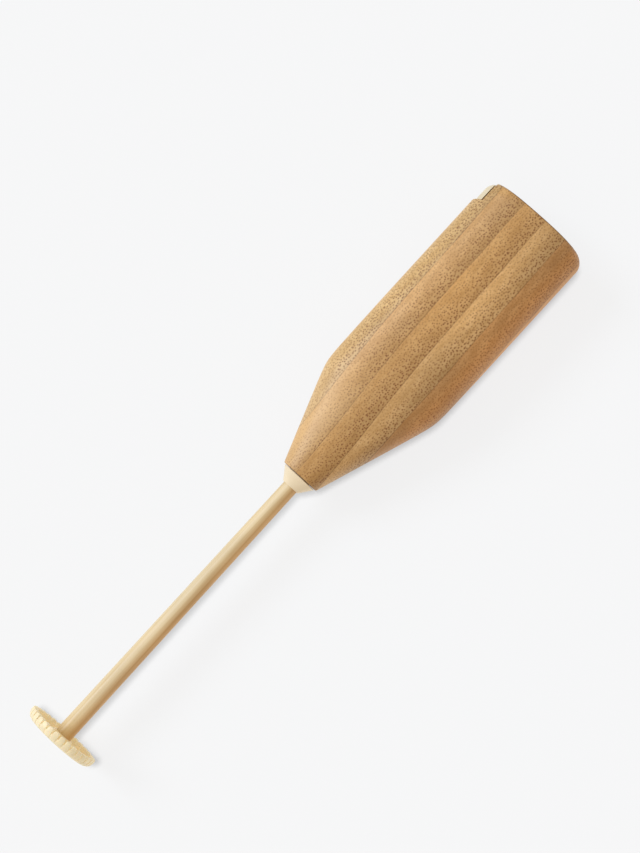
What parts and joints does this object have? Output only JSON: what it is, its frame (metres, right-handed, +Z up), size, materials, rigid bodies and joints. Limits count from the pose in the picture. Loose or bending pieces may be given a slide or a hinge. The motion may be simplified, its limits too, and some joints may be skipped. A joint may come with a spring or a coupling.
{
  "type": "battery tea whisk",
  "caption": "Battery tea whisk with a flattened two-half bamboo handle, cream nose, long slim stick and a toothed disc whisk head.",
  "frame": {"origin": "centre of the whole whisk's box in X and Y, on the surface that it lies on", "axes": "+X runs along the whisk from the head to the handle's end, +Z is up out of the handle's front face, +Y is the side with the thumb button"},
  "size_m": [0.236, 0.0418, 0.0279],
  "materials": {
    "bamboo_front": "fine sanded laminated bamboo, satin",
    "bamboo_back": "fine sanded laminated bamboo, satin",
    "nose": "cream satin moulding",
    "chassis_plastic": "cream moulding",
    "stick": "bamboo-coloured satin tube",
    "whisk_plastic": "pale cream moulding",
    "button": "cream satin moulding",
    "dark_plastic": "black moulding",
    "seal_rubber": "soft black",
    "steel": "bright drawn steel",
    "can_steel": "zinc plated steel",
    "magnet": "dark ferrite",
    "core_iron": "stacked iron laminations",
    "winding_copper": "enamelled copper wire",
    "contact_brass": "nickel plated brass strip",
    "bush_bronze": "sintered bronze",
    "cell_jacket": "plain printed sleeve, satin",
    "lead_black": "black insulation",
    "lead_red": "red insulation"
  },
  "bodies": {
    "handle": {"back_shell": "bamboo_back", "nose_cone": "nose", "chassis": "chassis_plastic", "chassis_screws": "steel", "shaft_bushes": "bush_bronze", "nose_seal": "seal_rubber", "motor_can": "can_steel", "motor_magnets": "magnet", "motor_cap": "chassis_plastic", "motor_bushes": "bush_bronze", "motor_brushes": "contact_brass", "motor_terminals": "contact_brass", "battery_near": "cell_jacket", "battery_far": "cell_jacket", "battery_springs": "steel", "battery_plates": "contact_brass", "bridge_strip": "contact_brass", "switch_base": "chassis_plastic", "switch_leaf": "contact_brass", "switch_contact": "contact_brass", "motor_lead": "lead_black", "switch_lead": "lead_red", "cell_lead": "lead_red"},
    "whisk_drive": {"whisk_head": "whisk_plastic", "stick": "stick", "drive_shaft": "steel", "shaft_coupling": "dark_plastic", "rotor_shaft": "steel", "rotor_core": "core_iron", "rotor_windings": "winding_copper", "commutator": "winding_copper"},
    "battery_cover": {"front_shell": "bamboo_front"},
    "button": {"thumb_button": "button"}
  },
  "joints": [
    {"name": "whisk_spin", "type": "hinge", "parent": "handle", "child": "whisk_drive", "pos_m": [0, 0.0011, 0.01385], "axis": [1, 0, 0], "continuous": true},
    {"name": "cover_lift", "type": "slide", "parent": "handle", "child": "battery_cover", "axis": [0, 0, 1], "range_m": [0, 0.04]},
    {"name": "button_press", "type": "slide", "parent": "handle", "child": "button", "axis": [0, -1, 0], "range_m": [0, 0.0005], "stiffness_N_per_m": 400, "springref_m": -0.002}
  ]
}
